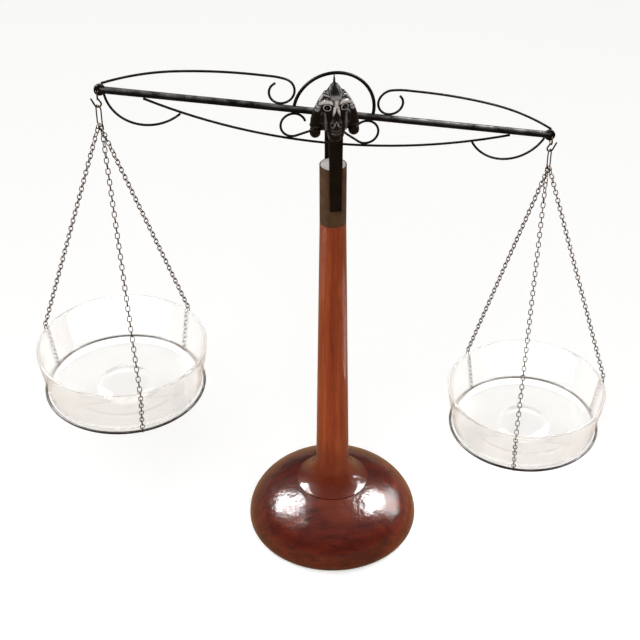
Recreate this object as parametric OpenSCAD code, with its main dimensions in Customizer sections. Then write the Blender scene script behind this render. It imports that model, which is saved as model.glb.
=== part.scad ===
// Apothecary scale: turned wooden stand, wrought-iron beam with scrollwork, cast ram's head,
// and two glass bowls, each hung in a wire ring on three chains.
// Millimetres. Origin at the centre of the base's underside, +Z up, the beam along X,
// the ram's head on the -Y side. The beam rests tilted, with its +X end down.

/* [Stand] */
// Radius of the turned base at its widest
base_r = 81; // [70:1:95]
// Height at which the base is widest
base_belly_z = 6; // [5:0.5:12]
// Height of the base's dome above its widest line, if it were whole
base_dome_h = 48; // [36:1:56]
// How far the base draws in at its underside
base_under = 4; // [2:0.5:9]
// Radius of the column's flared foot
foot_r = 34; // [28:1:42]
// Height of the concave flare
flare_h = 30; // [24:1:45]
// Radius of the column where the flare ends
column_low_r = 15.5; // [13:0.5:20]
// Radius of the column and its ferrule at the top
column_top_r = 11.5; // [10:0.1:14]
// Height of the column's top above the table
column_top_z = 398; // [340:1:480]
// Radius of the tenon that holds the column in the base
tenon_r = 9; // [7:0.5:11]
// Length of that tenon
tenon_l = 16; // [10:1:20]
// Clearance of the tenon in its mortise
tenon_gap = 0.1; // [0.05:0.05:0.3]

/* [Ferrule and cap] */
// Height of the ferrule sleeve with the cap
ferrule_h = 56; // [40:1:80]
// Wall of the ferrule
ferrule_wall = 0.9; // [0.6:0.1:2]
// Thickness of the pale disc on the column's top
cap_h = 2; // [1:0.5:5]
// Clearance between pieces that are fixed to each other
fit_gap = 0.05; // [0.02:0.01:0.15]

/* [Yoke] */
// Thickness of the two straps
strap_t = 2.6; // [2:0.1:4]
// Width of the front strap at the pivot
strap_w = 12; // [10:0.5:16]
// Width of the front strap at its lower end
strap_low_w = 9.7; // [8:0.1:12]
// Width of the rear strap
rear_strap_w = 9.6; // [8:0.1:12]
// Length of the straps over the ferrule
strap_lap = 38; // [30:1:50]
// Radius of the two rivets through straps, ferrule and column
rivet_r = 1.6; // [1:0.1:2.5]
// Height of the pivot above the column's top
pivot_rise = 48; // [42:1:70]
// Radius of the pivot pin
pin_r = 2.5; // [2:0.1:3.5]
// Running clearance of the bush on the pin
pin_gap = 0.05; // [0.02:0.01:0.1]
// Thickness of the nut behind the rear strap
nut_h = 4; // [2:0.5:6]

/* [Ram's head] */
// Height of the crest's point above the head's own centre
head_top = 42; // [36:1:50]
// Depth of the chin below that centre
head_chin = 11; // [8:1:16]
// Half the distance over the horns
head_half = 20.5; // [17:0.5:24]
// How far the head's middle sits beside the strap's, along X
head_off = -2.5; // [-4:0.5:4]
// Depth of the head's centre below the pivot
head_drop = 2.6; // [0:0.2:5]
// How far the muzzle stands out from the strap
head_deep = 17; // [12:0.5:22]
// Height of the spike's point above the head's centre
spike_top = 47; // [44:0.5:54]

/* [Beam] */
// How far the +X end hangs down as the scale rests, in degrees
tilt = 11.5; // [0:0.1:16]
// Distance from the pivot to the hole that a hook hangs in
arm_l = 192; // [160:0.5:230]
// Radius of the round rod
rod_r = 2.9; // [2:0.1:3.5]
// Radius of the hub round the pivot
hub_r = 7.5; // [6:0.5:9]
// Half the length of the hub
hub_half = 8; // [6:0.5:9.5]
// Wall of the pivot bush
bush_wall = 1.4; // [1:0.1:2]
// Radius of the flat eye at each end of the rod
eye_r = 4.6; // [4.2:0.1:6]
// Thickness of that eye
eye_t = 3; // [2:0.1:3.2]
// Radius of the hook's hole in the eye
hole_r = 1.35; // [1.2:0.05:1.5]
// How far the hole lies outside the eye's centre
hole_out = 2; // [1.5:0.1:2.4]
// How far the hole lies below the eye's centre
hole_down = 1.75; // [1:0.05:2]

/* [Scrollwork] */
// Radius of the scroll wires
wire_r = 1; // [0.7:0.1:1.4]
// Radius of the arch's wire
arch_wire_r = 1.4; // [1:0.1:2]
// Radius of the arch's centre line
arch_r = 33.3; // [30:0.1:36]
// Radius of the upper scrolls
scroll_r = 10.4; // [8.5:0.1:11.5]
// Distance from the pivot to the centre of an upper scroll
scroll_x = 45.8; // [44:0.1:52]
// Distance from the pivot to the centre of a lower scroll
low_scroll_x = 31; // [28:0.1:36]
// Depth of the lower chord below the rod's axis
chord_drop = 27.6; // [26:0.1:34]
// Half the span of the lower chord
chord_half = 155; // [140:1:165]
// Radius of the end bows
bow_r = 36.4; // [33:0.1:39]
// Distance from an eye's centre in to the centre of its end bow
bow_in = 38; // [36:0.1:41]
// Height of a bow's centre above the rod's axis
bow_z = 9.2; // [5:0.1:11]

/* [Hooks and links] */
// Radius of the hook's wire
hook_wire_r = 0.7; // [0.5:0.05:0.75]
// Radius of the hook's closed loop, at its centre line
loop_r = 3.4; // [3.3:0.1:4.2]
// Radius of the hook's lower bend, at its centre line
bend_r = 2.6; // [2.5:0.1:3.2]
// Depth of the bend's centre below the hook's hole
bend_drop = 11.2; // [10.4:0.1:13]
// Length of the hook's straight tip
tip_l = 7; // [4:0.5:9]
// Radius of the long link's wire
link_wire_r = 0.55; // [0.4:0.05:0.6]
// Radius of the long link's ends, at the centre line
link_end_r = 3.1; // [2.9:0.1:3.6]
// Length of the long link, at the centre line
link_l = 18.6; // [14:0.1:22]
// Clearance of the long link on the hook
link_gap = 0.25; // [0.15:0.05:0.3]
// Play of the chains on the long link, which lets a pan swing
swing_gap = 0.55; // [0.3:0.05:0.6]

/* [Chains] */
// Number of links in each chain of the left pan
links_left = 62; // [50:1:76]
// Number of links in each chain of the right pan
links_right = 67; // [50:1:76]
// Number of those links that run down the side of the bowl
links_side = 10; // [8:1:12]
// Pitch of the chains
pitch = 4.46; // [4.3:0.01:4.8]
// Radius of the chain's wire
chain_wire_r = 0.42; // [0.35:0.01:0.44]
// Width of a chain link outside
chain_link_w = 4.3; // [4.2:0.1:4.5]
// Play between two links
chain_gap = 0.06; // [0.03:0.01:0.1]
// Directions in which the left pan's chains hang, in degrees from +X
chain_az_left = [36, 149, 278]; // [0:1:360]
// Directions in which the right pan's chains hang, in degrees from +X
chain_az_right = [2, 122, 247]; // [0:1:360]

/* [Rings and bowls] */
// Radius of the ring's centre line
ring_r = 70.5; // [62:0.1:80]
// Radius of the ring's wire
ring_wire_r = 1.2; // [1:0.02:1.22]
// Radius of the bowl at its rim
rim_r = 75; // [68:0.1:84]
// Height of the rim above the ring
rim_h = 43.8; // [38:0.1:50]
// Depth of the bowl's underside below the ring
bowl_under = 3.5; // [2:0.1:6]
// Thickness of the bowl's side
bowl_wall = 2.6; // [2:0.1:4]
// Thickness of the bowl's floor
bowl_floor = 3.5; // [2.5:0.1:6]
// Radius of the bowl's lower corner
bowl_corner = 6; // [4:0.5:10]
// Radius of the raised centre of the floor
punt_r = 27; // [15:1:40]
// Height of the raised centre of the floor
punt_h = 2.5; // [1:0.5:5]
// Clearance between the side of the bowl and the chains
bowl_gap = 0.25; // [0.15:0.05:0.4]

/* [Hidden] */
$fn = 48;

wood = "#7a2410";
column_wood = "#a84418";
iron = "#26221f";
steel = "#4a4644";
bronze = "#6b5236";
brass = "#9a7a3c";
bone = "#ddd8cc";
glass = [0.8, 0.88, 0.9, 0.5];

// Stand
seat_z = base_belly_z + base_dome_h*sqrt(1 - pow(foot_r/base_r, 2));
foot_edge = 1;
flare_z = seat_z + foot_edge;
flare_top_z = flare_z + flare_h;
foot_step = foot_r - column_low_r;
flare_r = (foot_step*foot_step + flare_h*flare_h)/(2*foot_step);
screw_r = 2.4;
screw_head_r = 4.4;
screw_head_h = 2.5;
screw_l = seat_z + 2;
washer_r = 9;
washer_h = 1.5;
recess_h = 6;
ferrule_z = column_top_z - ferrule_h;
ferrule_in_r = column_top_r - ferrule_wall;
wood_top_z = column_top_z - cap_h;

// Yoke
strap_in = column_top_r + fit_gap;
strap_out = strap_in + strap_t;
strap_low_z = column_top_z - strap_lap;
rivet_z = [strap_low_z + 7, strap_low_z + strap_lap - 11];
pivot_z = column_top_z + pivot_rise;
bush_in_r = pin_r + pin_gap;
bush_out_r = bush_in_r + bush_wall;
spacer_gap = 0.3;
nut_r = 1.9*pin_r;
head_y = -strap_out - fit_gap;
head_rivet_r = 1.2;
head_rivet_z = 13;
spike_r = 0.9;
spike_y = head_y - 4;
spike_root_z = head_top - 12;

// Beam
eye_x = arm_l - hole_out;
wire_on_rod = rod_r + fit_gap + wire_r;
chord_sag = chord_drop - wire_on_rod;
chord_r = (chord_half*chord_half + chord_sag*chord_sag)/(2*chord_sag);
chord_z = chord_r - chord_drop;
function chord_at(x) = chord_z - sqrt(chord_r*chord_r - x*x);

joint_in = 0.06;

// Pans
side_run = pitch*links_side - ring_wire_r - chain_gap/2;
knee_r = rim_r + chain_link_w/2 + 2*bowl_gap;
side_h = sqrt(side_run*side_run - pow(knee_r - ring_r, 2));
crown_drop = bend_drop + bend_r - hook_wire_r - link_wire_r - link_gap;
link_low = crown_drop + link_l;
link_turn = [126, 47];
link_spread = 35;
chain_place_left = [0, 1, -1];
chain_place_right = [1, 0, -1];
function links_of(side) = side < 0 ? links_left : links_right;
// Height of the straight part of a pan's chains, and the ring's depth below the hook's hole
function upper_h(side) =
    sqrt(pow((links_of(side) - links_side)*pitch - link_wire_r - swing_gap, 2) - knee_r*knee_r);
function ring_drop(side) = link_low + upper_h(side) + side_h;
// A hook's hole in the part's own axes
function hole(side) = [side*arm_l*cos(tilt) - hole_down*sin(tilt), 0,
                       pivot_z - side*arm_l*sin(tilt) - hole_down*cos(tilt)];

module on_beam() { translate([0, 0, pivot_z]) rotate([0, tilt, 0]) children(); }
module below_hole(side) { translate(hole(side)) children(); }
module other_side(side) { if (side > 0) children(); else mirror([1, 0, 0]) children(); }

// Bent wire in the XZ plane. start is [x, z, heading]; a step [0, l] runs straight for l,
// a step [r, a] turns left by a at radius r, right where a is negative.
function pose(steps, start, n) = n == 0 ? start :
    let (p = pose(steps, start, n - 1), size = steps[n - 1][0], turn = steps[n - 1][1])
    size == 0 ? [p[0] + turn*cos(p[2]), p[1] + turn*sin(p[2]), p[2]] :
    let (r = turn > 0 ? size : -size, h = p[2] + turn)
    [p[0] + r*(sin(h) - sin(p[2])), p[1] - r*(cos(h) - cos(p[2])), h];

module bent_wire(steps, start, r) {
    last = len(steps) - 1;
    rotate([90, 0, 0]) for (i = [0:last]) {
        p = pose(steps, start, i);
        size = steps[i][0];
        turn = steps[i][1];
        // Runs stop just short of each other, inside the short collar that joins them
        a = i == 0 ? 0 : joint_in;
        b = i == last ? 0 : joint_in;
        arc = size == 0 ? 0 : 180/(PI*size);
        if (size == 0) translate([p[0], p[1], 0]) rotate([0, 0, p[2]]) rotate([0, 90, 0])
            translate([0, 0, a]) cylinder(h = turn - a - b, r = r);
        else if (turn > 0) translate([p[0] - size*sin(p[2]), p[1] + size*cos(p[2]), 0])
            rotate([0, 0, p[2] - 90 + a*arc]) rotate_extrude(angle = turn - (a + b)*arc)
                translate([size, 0]) circle(r);
        else translate([p[0] + size*sin(p[2]), p[1] - size*cos(p[2]), 0])
            rotate([0, 0, p[2] + 90 + turn + b*arc]) rotate_extrude(angle = -turn - (a + b)*arc)
                translate([size, 0]) circle(r);
        if (i > 0) translate([p[0], p[1], 0]) rotate([0, 0, p[2]]) rotate([0, 90, 0])
            cylinder(h = 5*joint_in, r = 1.03*r, center = true);
    }
}

// Closed oval link in the XZ plane, its long way along Z; l and end_r at the centre line
module oval(l, end_r, r) {
    half = l/2 - end_r;
    for (s = [-1, 1]) {
        translate([s*end_r, 0, -half]) cylinder(h = 2*half, r = r);
        translate([0, 0, s*half]) rotate([90, 0, 0]) rotate([0, 0, s > 0 ? 0 : 180])
            rotate_extrude(angle = 180) translate([end_r, 0]) circle(r);
    }
}

/* Stand */
module base() {
    top = acos(foot_r/base_r);
    dome = [for (a = [0:4:top]) [base_r*cos(a), base_belly_z + base_dome_h*sin(a)]];
    under = [for (a = [90:-15:15]) [base_r - base_under*(1 - cos(a)), base_belly_z*(1 - sin(a))]];
    color(wood) difference() {
        rotate_extrude() polygon(concat([[0, 0]], under, dome, [[foot_r, seat_z], [0, seat_z]]));
        translate([0, 0, seat_z - tenon_l - 0.5]) cylinder(h = tenon_l + 1, r = tenon_r + tenon_gap);
        translate([0, 0, -1]) cylinder(h = recess_h + 1, r = washer_r + 1);
        translate([0, 0, -1]) cylinder(h = seat_z, r = screw_r + tenon_gap);
    }
}

module base_washer() {
    color(steel) translate([0, 0, recess_h - fit_gap - washer_h]) difference() {
        cylinder(h = washer_h, r = washer_r);
        translate([0, 0, -1]) cylinder(h = washer_h + 2, r = screw_r + tenon_gap);
    }
}

module base_screw() {
    head_z = recess_h - 2*fit_gap - washer_h - screw_head_h;
    color(steel) difference() {
        union() {
            translate([0, 0, head_z]) cylinder(h = screw_head_h, r = screw_head_r);
            translate([0, 0, head_z + 1]) cylinder(h = screw_l, r = screw_r);
        }
        translate([-screw_head_r - 1, -0.5, head_z - 1]) cube([2*screw_head_r + 2, 1, 2]);
    }
}

module rivet_holes(r) {
    for (z = rivet_z) translate([0, 0, z]) rotate([90, 0, 0])
        cylinder(h = 2*strap_out + 4, r = r, center = true);
}

module column() {
    color(column_wood) difference() {
        union() {
            rotate_extrude() difference() {
                translate([0, seat_z]) square([foot_r, flare_top_z - seat_z]);
                translate([column_low_r + flare_r, flare_top_z]) circle(flare_r, $fn = 96);
            }
            translate([0, 0, flare_top_z])
                cylinder(h = ferrule_z - flare_top_z, r1 = column_low_r, r2 = column_top_r);
            // The plug inside the ferrule, and the tenon, each start well inside the wood they grow from
            translate([0, 0, ferrule_z - 1])
                cylinder(h = wood_top_z - ferrule_z + 1, r = ferrule_in_r - fit_gap);
            translate([0, 0, seat_z - tenon_l]) cylinder(h = tenon_l + flare_h + 3, r = tenon_r);
        }
        rivet_holes(rivet_r + fit_gap);
        translate([0, 0, seat_z - tenon_l - 1])
            cylinder(h = screw_l - seat_z + tenon_l + 6, r = screw_r + fit_gap);
    }
}

module ferrule() {
    color(steel) difference() {
        translate([0, 0, ferrule_z + fit_gap]) cylinder(h = ferrule_h - fit_gap, r = column_top_r);
        translate([0, 0, ferrule_z - 1]) cylinder(h = ferrule_h + 2, r = ferrule_in_r);
        rivet_holes(rivet_r + fit_gap);
    }
}

module top_cap() {
    color(bone) translate([0, 0, wood_top_z + fit_gap]) cylinder(h = cap_h, r = ferrule_in_r - fit_gap);
}

// A strap on the -Y side, rounded at the pivot
module strap(w, low_w) {
    difference() {
        translate([0, -strap_in, 0]) rotate([90, 0, 0]) linear_extrude(strap_t) union() {
            polygon([[-low_w/2, strap_low_z], [low_w/2, strap_low_z], [w/2, pivot_z], [-w/2, pivot_z]]);
            translate([0, pivot_z]) circle(w/2);
        }
        translate([0, 0, pivot_z]) rotate([90, 0, 0]) cylinder(h = 2*strap_out, r = pin_r + fit_gap);
        rivet_holes(rivet_r + fit_gap);
    }
}

module front_strap() {
    neck_w = strap_low_w - 2;
    color(iron) difference() {
        union() {
            strap(strap_w, strap_low_w);
            // The neck that runs up behind the head
            translate([-neck_w/2, -strap_out, pivot_z + 4]) cube([neck_w, strap_t, head_rivet_z]);
        }
        translate([0, 0, pivot_z + head_rivet_z]) rotate([90, 0, 0])
            cylinder(h = 2*strap_out, r = head_rivet_r + fit_gap);
    }
}

module rear_strap() {
    color(iron) rotate([0, 0, 180]) strap(rear_strap_w, rear_strap_w);
}

// Two pins through both straps, flush in front and domed behind
module strap_rivets() {
    color(iron) for (z = rivet_z) translate([0, -strap_out, z]) rotate([-90, 0, 0]) {
        cylinder(h = 2*strap_out + fit_gap, r = rivet_r);
        translate([0, 0, 2*strap_out + fit_gap]) cylinder(h = 1.2, r1 = rivet_r + 1.3, r2 = rivet_r);
    }
}

/* Ram's head, cast, with its flat back on the front strap */
module ball(x, y, z, r) { translate([x, head_y - y, z]) sphere(r, $fn = 24); }
module horn(side) {
    x = head_half;
    hull() {
        ball(side*(x - 12.5), 5, head_top - 16, 4);
        ball(side*(x - 6), 5, 16, 4.5);
    }
    hull() {
        ball(side*(x - 6), 5, 16, 4.5);
        ball(side*(x - 4.6), 5, 4, 4.6);
    }
    ball(side*(x - 4.3), 6, -1.4, 4.3);
}
module ram_head() {
    x = head_half;
    shield = [[0, head_top], [4.5, head_top - 2], [8, head_top - 8], [12.5, head_top - 15],
              [x - 4.5, 17], [x, 7], [x, -1], [x - 3, -4.5], [x - 8, -5], [8, -8], [6, -head_chin],
              [-6, -head_chin], [-8, -8], [8 - x, -5], [3 - x, -4.5], [-x, -1], [-x, 7], [4.5 - x, 17],
              [-12.5, head_top - 15], [-8, head_top - 8], [-4.5, head_top - 2]];
    color(iron) translate([head_off, 0, pivot_z - head_drop]) difference() {
        union() {
            translate([0, head_y, 0]) rotate([90, 0, 0]) linear_extrude(4) polygon(shield);
            hull() {
                ball(0, 4, head_top - 7, 4);
                ball(0, head_deep - 11, 22, 8);
                ball(-7, 6, 22, 5);
                ball(7, 6, 22, 5);
            }
            hull() {
                ball(0, head_deep - 10, 19, 8);
                ball(-3, head_deep - 5, -4, 5);
                ball(3, head_deep - 5, -4, 5);
                ball(0, 5, -5, 5);
            }
            horn(-1);
            horn(1);
        }
        translate([-30, head_y, -30]) cube([60, 30, 90]);
        translate([-head_off, head_y + 1, head_rivet_z + head_drop]) rotate([90, 0, 0])
            cylinder(h = 5, r = head_rivet_r + fit_gap);
        translate([0, spike_y, spike_root_z]) cylinder(h = 30, r = spike_r + fit_gap);
    }
}

// The pin that holds the head to the strap from behind
module head_rivet() {
    color(iron) translate([0, -strap_in, pivot_z + head_rivet_z]) rotate([90, 0, 0])
        cylinder(h = strap_t + 3.5, r = head_rivet_r);
}

// Spike on the crest, which points at the middle of the beam's arch
module pointer_spike() {
    shank = head_top - spike_root_z;
    color(iron) translate([head_off, spike_y, pivot_z - head_drop + spike_root_z + fit_gap]) union() {
        cylinder(h = shank, r = spike_r);
        translate([0, 0, shank]) cylinder(h = spike_top - head_top - fit_gap, r1 = spike_r, r2 = 0.3);
    }
}

/* Pivot */
module pivot_pin() {
    color(steel) translate([0, -strap_out, pivot_z]) rotate([-90, 0, 0])
        cylinder(h = 2*strap_out + nut_h + 1, r = pin_r);
}

module pivot_nut() {
    color(steel) translate([0, strap_out + fit_gap, pivot_z]) rotate([-90, 0, 0]) difference() {
        cylinder(h = nut_h, r = nut_r, $fn = 6);
        translate([0, 0, -1]) cylinder(h = nut_h + 2, r = pin_r + fit_gap);
    }
}

module pivot_spacers() {
    h = strap_in - fit_gap - hub_half - spacer_gap;
    color(brass) for (s = [-1, 1]) translate([0, s*(hub_half + spacer_gap + h/2), pivot_z])
        rotate([90, 0, 0]) difference() {
            cylinder(h = h, r = bush_out_r + 1, center = true);
            cylinder(h = h + 1, r = pin_r + fit_gap, center = true);
        }
}

/* Beam */
module beam_rod() {
    color(iron) on_beam() difference() {
        union() {
            rotate([0, 90, 0]) cylinder(h = 2*eye_x, r = rod_r, center = true);
            rotate([90, 0, 0]) cylinder(h = 2*hub_half, r = hub_r, center = true);
            for (s = [-1, 1]) translate([s*eye_x, 0, 0]) rotate([90, 0, 0])
                cylinder(h = eye_t, r = eye_r, center = true);
        }
        rotate([90, 0, 0]) cylinder(h = 3*hub_half, r = bush_out_r + fit_gap/2, center = true);
        for (s = [-1, 1]) translate([s*arm_l, 0, -hole_down]) rotate([90, 0, 0])
            cylinder(h = 3*eye_t, r = hole_r, center = true);
    }
}

module pivot_bush() {
    color(brass) on_beam() rotate([90, 0, 0]) difference() {
        cylinder(h = 2*hub_half, r = bush_out_r, center = true);
        cylinder(h = 3*hub_half, r = bush_in_r, center = true);
    }
}

module arch() {
    color(iron) on_beam() translate([0, 0, rod_r + fit_gap]) rotate([90, 0, 0])
        rotate_extrude(angle = 180) translate([arch_r, 0]) circle(arch_wire_r);
}

// Upper wire, in one piece from the inner end of its scroll round to the eye
module upper_wire(side) {
    inner = pose([[scroll_r, 90], [8, 60]], [scroll_x, wire_on_rod, 0], 2);
    start = [inner[0], inner[1], inner[2] + 180];
    rise = [[8, -60], [scroll_r, -180], [11.5, -78], [60, -12]];
    slope = [[450, -8], [200, -17]];
    crown = pose(rise, start, 4);
    full = pose(slope, [0, 0, 0], 2);
    // The slope is scaled to come down on the eye, and the straight run fills up to it
    size = (crown[1] - eye_r - wire_r)/-full[1];
    flat = eye_x - 0.5 - crown[0] - size*full[0];
    on_beam() color(iron) other_side(side)
        bent_wire(concat(rise, [[0, flat]], [for (s = slope) [size*s[0], s[1]]]), start, wire_r);
}
module upper_wire_left() { upper_wire(-1); }
module upper_wire_right() { upper_wire(1); }

module lower_chord() {
    half = asin(chord_half/chord_r);
    color(iron) on_beam() translate([0, 0, chord_z]) rotate([90, 0, 0]) rotate([0, 0, -90 - half])
        rotate_extrude(angle = 2*half, $fn = 360) translate([chord_r, 0]) circle(wire_r, $fn = 48);
}

// Lower scroll: a curl between rod and chord whose tail runs up to the hub
module lower_scroll(side) {
    low = chord_at(low_scroll_x) + 2*wire_r + 2*fit_gap;
    r = (-wire_on_rod - low)/2;
    leave = 243;
    from = 152.5;
    start = [low_scroll_x + r*cos(from), -wire_on_rod - r + r*sin(from), from - 90];
    curl = [[r, leave - 360 - from], [0, 12], [14, -48]];
    tail = pose(curl, start, 3);
    // The last straight run stops at the hub
    reach = hub_r + 0.6*wire_r + fit_gap;
    along = tail[0]*cos(tail[2]) + tail[1]*sin(tail[2]);
    run = -along - sqrt(along*along - tail[0]*tail[0] - tail[1]*tail[1] + reach*reach);
    on_beam() color(iron) other_side(side)
        bent_wire(concat(curl, [[0, run]]), start, wire_r);
}
module lower_scroll_left() { lower_scroll(-1); }
module lower_scroll_right() { lower_scroll(1); }

// How far round a bow, seen from the line to a point d away, it is t away from that point
function bow_off(d, t) = acos((d*d + bow_r*bow_r - t*t)/(2*d*bow_r));

// End bow: from the underside of the eye round to the chord
module end_bow(side) {
    c = [eye_x - bow_in, bow_z];
    to_eye = norm([bow_in, bow_z]);
    to_chord = norm([c[0], chord_z - bow_z]);
    first = atan2(-bow_z, bow_in) - bow_off(to_eye, eye_r + 0.5*wire_r + fit_gap);
    last = atan2(chord_z - bow_z, -c[0]) + bow_off(to_chord, chord_r + 1.4*wire_r + fit_gap) - 360;
    on_beam() color(iron) other_side(side) translate([c[0], 0, c[1]]) rotate([90, 0, 0])
        rotate([0, 0, last]) rotate_extrude(angle = first - last) translate([bow_r, 0]) circle(wire_r);
}
module end_bow_left() { end_bow(-1); }
module end_bow_right() { end_bow(1); }

/* Hooks and long links */
// Closed loop through the eye, square to the beam, and an open bend below it in the beam's plane
module hook(side) {
    run = (bend_drop - bend_r/2 - 2*loop_r + 0.2)/sin(60);
    start = [-bend_r*cos(30) + run*cos(60), -bend_drop + bend_r/2 + run*sin(60), 240];
    below_hole(side) color(bronze) other_side(side) union() {
        translate([0, 0, -loop_r]) rotate([0, 90, 0]) rotate_extrude()
            translate([loop_r, 0]) circle(hook_wire_r);
        bent_wire([[0, run], [bend_r, 185], [0, tip_l]], start, hook_wire_r);
    }
}
module hook_left() { hook(-1); }
module hook_right() { hook(1); }

module long_link(side) {
    turn = link_turn[side < 0 ? 0 : 1];
    below_hole(side) color(bronze) translate([0, 0, -crown_drop - link_l/2]) rotate([0, 0, turn])
        oval(link_l, link_end_r, link_wire_r);
}
module long_link_left() { long_link(-1); }
module long_link_right() { long_link(1); }

/* Chains */
module chain_link() {
    oval(pitch + 2*chain_wire_r + chain_gap, chain_link_w/2 - chain_wire_r, chain_wire_r);
}

// Links from point p along the direction d, one to each of the turns about d
module run_of_links(p, d, step, turns) {
    az = atan2(d[1], d[0]);
    lean = acos(-d[2]);
    for (i = [0:len(turns) - 1]) translate(p + d*step*(i + 0.5))
        rotate([0, -lean, az]) rotate([0, 0, turns[i]]) chain_link();
}

// Chain k of a pan: straight from the long link to the knee at the rim, then down the bowl's side
module chain(side, k) {
    n = links_of(side);
    az = side < 0 ? chain_az_left[k] : chain_az_right[k];
    place = link_spread*(side < 0 ? chain_place_left[k] : chain_place_right[k]);
    across = link_turn[side < 0 ? 0 : 1];
    low = -link_low + link_end_r;
    top = [link_end_r*sin(place)*cos(across), link_end_r*sin(place)*sin(across),
           low - link_end_r*cos(place)];
    knee = [knee_r*cos(az), knee_r*sin(az), side_h - ring_drop(side)];
    foot = [ring_r*cos(az), ring_r*sin(az), -ring_drop(side)];
    down = (knee - top)/norm(knee - top);
    in = (foot - knee)/norm(foot - knee);
    over = link_wire_r + swing_gap;
    upper = n - links_side;
    // Every other link stands across; the first ones are turned to sit square on the long link
    first = 90*((n - 1)%2);
    off = across + 90 - atan2(down[1], down[0]) - first;
    twist = off - 180*round(off/180);
    turns = [for (i = [0:upper - 1]) 90*((n - 1 - i)%2) + twist*max(0, 1 - i/8)];
    side_turns = [for (i = [upper:n - 1]) 90*((n - 1 - i)%2)];
    below_hole(side) color(bronze) union() {
        run_of_links(top - down*over, down, (norm(knee - top) + over)/upper, turns);
        run_of_links(knee - in*chain_gap, in, pitch + chain_gap/links_side, side_turns);
    }
}
module chain_left_1() { chain(-1, 0); }
module chain_left_2() { chain(-1, 1); }
module chain_left_3() { chain(-1, 2); }
module chain_right_1() { chain(1, 0); }
module chain_right_2() { chain(1, 1); }
module chain_right_3() { chain(1, 2); }

/* Rings and bowls */
module at_ring(side) { below_hole(side) translate([0, 0, -ring_drop(side)]) children(); }

module ring(side) {
    at_ring(side) color(steel) rotate_extrude() translate([ring_r, 0]) circle(ring_wire_r);
}
module ring_left() { ring(-1); }
module ring_right() { ring(1); }

// Half section of a tapering vessel: its floor at height z0, its side through [top_r, top_z]
// with the slope m, its lower corner of radius c
module vessel(z0, top_r, top_z, m, c) {
    zc = z0 + c;
    edge = sqrt(1 + m*m);
    xc = top_r - m*(top_z - zc) - c*edge;
    polygon([[0, z0], [xc, z0], [xc + c/edge, zc - c*m/edge], [top_r, top_z], [0, top_z]]);
    translate([xc, zc]) circle(c);
}
module bowl(side) {
    m = (knee_r - ring_r)/side_h;
    lip = bowl_wall/2;
    lip_z = rim_h - lip;
    punt = [[0, -1], [0, punt_h], [punt_r - 7, punt_h], [punt_r, 0], [punt_r, -1]];
    at_ring(side) color(glass) rotate_extrude() union() {
        difference() {
            vessel(-bowl_under, rim_r, lip_z, m, bowl_corner);
            difference() {
                vessel(bowl_floor - bowl_under, rim_r - bowl_wall, lip_z + 1, m, bowl_corner - 2);
                translate([0, bowl_floor - bowl_under]) polygon(punt);
            }
            translate([0, -bowl_under]) polygon(punt);
        }
        translate([rim_r - lip, lip_z]) circle(lip);
    }
}
module bowl_left() { bowl(-1); }
module bowl_right() { bowl(1); }

base();
base_washer();
base_screw();
column();
ferrule();
top_cap();
front_strap();
rear_strap();
strap_rivets();
ram_head();
head_rivet();
pointer_spike();
pivot_pin();
pivot_nut();
pivot_spacers();
beam_rod();
pivot_bush();
arch();
upper_wire_left();
upper_wire_right();
lower_chord();
lower_scroll_left();
lower_scroll_right();
end_bow_left();
end_bow_right();
hook_left();
long_link_left();
ring_left();
bowl_left();
chain_left_1();
chain_left_2();
chain_left_3();
hook_right();
long_link_right();
ring_right();
bowl_right();
chain_right_1();
chain_right_2();
chain_right_3();
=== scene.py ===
import bmesh
import bpy
import math
import numpy as np
from mathutils import Matrix, Vector


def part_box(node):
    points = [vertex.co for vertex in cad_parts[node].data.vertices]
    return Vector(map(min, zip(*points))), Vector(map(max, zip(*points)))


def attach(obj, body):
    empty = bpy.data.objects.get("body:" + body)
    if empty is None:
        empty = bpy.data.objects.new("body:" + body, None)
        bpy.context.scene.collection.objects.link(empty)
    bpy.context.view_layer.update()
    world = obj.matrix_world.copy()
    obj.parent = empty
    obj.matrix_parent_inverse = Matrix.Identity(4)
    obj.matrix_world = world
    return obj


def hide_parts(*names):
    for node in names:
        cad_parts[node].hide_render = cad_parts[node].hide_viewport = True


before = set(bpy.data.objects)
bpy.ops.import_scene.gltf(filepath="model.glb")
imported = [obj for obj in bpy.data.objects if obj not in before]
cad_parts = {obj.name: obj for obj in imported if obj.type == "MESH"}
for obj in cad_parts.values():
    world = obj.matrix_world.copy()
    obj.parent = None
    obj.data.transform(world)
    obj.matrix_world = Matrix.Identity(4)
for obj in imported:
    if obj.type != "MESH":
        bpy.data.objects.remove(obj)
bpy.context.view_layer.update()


# Camera: stands in front of the ram's head, a little to the left, and looks down on the scale
# at about 36 degrees, with a moderately long lens.
eye = Vector((-0.18955, -1.07139, 1.03053))
looks_at = Vector((0.13241, 0.79708, -0.58918))
upward = Vector((0.10029, 0.58059, 0.808))
side = looks_at.cross(upward).normalized()
upward = side.cross(looks_at).normalized()
camera = bpy.data.objects.new("camera", bpy.data.cameras.new("camera"))
bpy.context.scene.collection.objects.link(camera)
bpy.context.scene.camera = camera
camera.matrix_world = Matrix((
    (side.x, upward.x, -looks_at.x, eye.x),
    (side.y, upward.y, -looks_at.y, eye.y),
    (side.z, upward.z, -looks_at.z, eye.z),
    (0, 0, 0, 1)))
camera.data.sensor_width = 36
camera.data.lens = 84.4
camera.data.clip_start = 0.05
camera.data.clip_end = 50


# Studio: a pale floor, a soft pale room and a large soft lamp above the camera. Two windows at the
# sides light nothing: they only show, as the two bright patches in the lacquer of the base.
bpy.context.scene.view_settings.view_transform = "Standard"


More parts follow.
